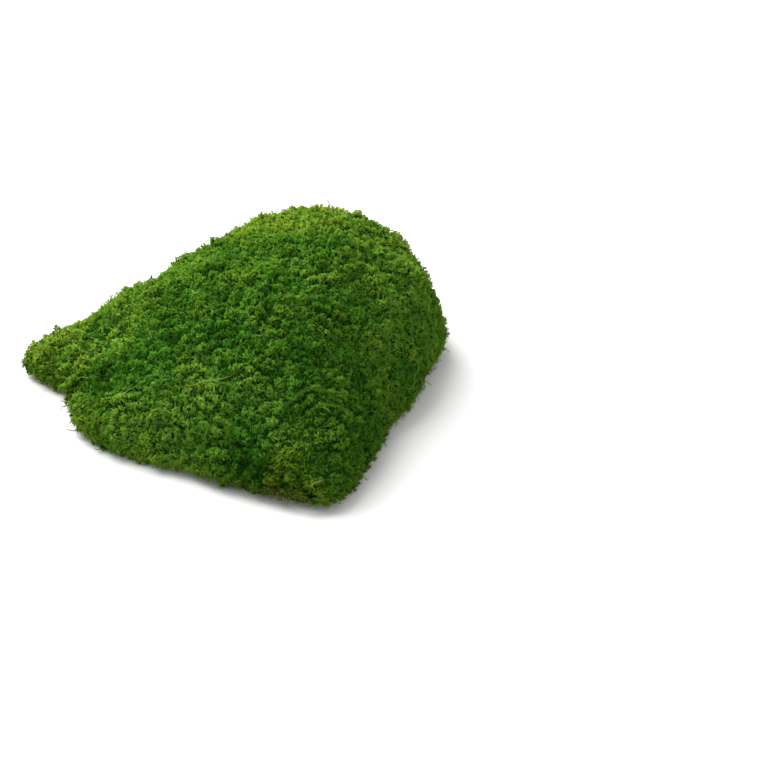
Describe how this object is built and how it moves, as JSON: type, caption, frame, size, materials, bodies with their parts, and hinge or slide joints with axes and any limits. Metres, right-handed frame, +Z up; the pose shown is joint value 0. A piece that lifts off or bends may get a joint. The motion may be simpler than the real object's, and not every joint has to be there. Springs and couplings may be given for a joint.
{
  "type": "moss clump",
  "caption": "Natural moss clump: a low, lumpy teardrop cushion of tangled green shoots with a flat cut base, to rest on a surface as greenery.",
  "frame": {"origin": "middle of the clump's bounding box in plan, on the flat cut base that it rests on", "axes": "+Z up; -X towards the narrow tip; -Y towards the long gentle slope and its low lobe; +Y towards the steep side"},
  "size_m": [0.2757, 0.2675, 0.1038],
  "materials": {
    "moss": "matt, made of fine shoots"
  },
  "bodies": {
    "root": {"moss_clump": "moss"}
  },
  "joints": []
}
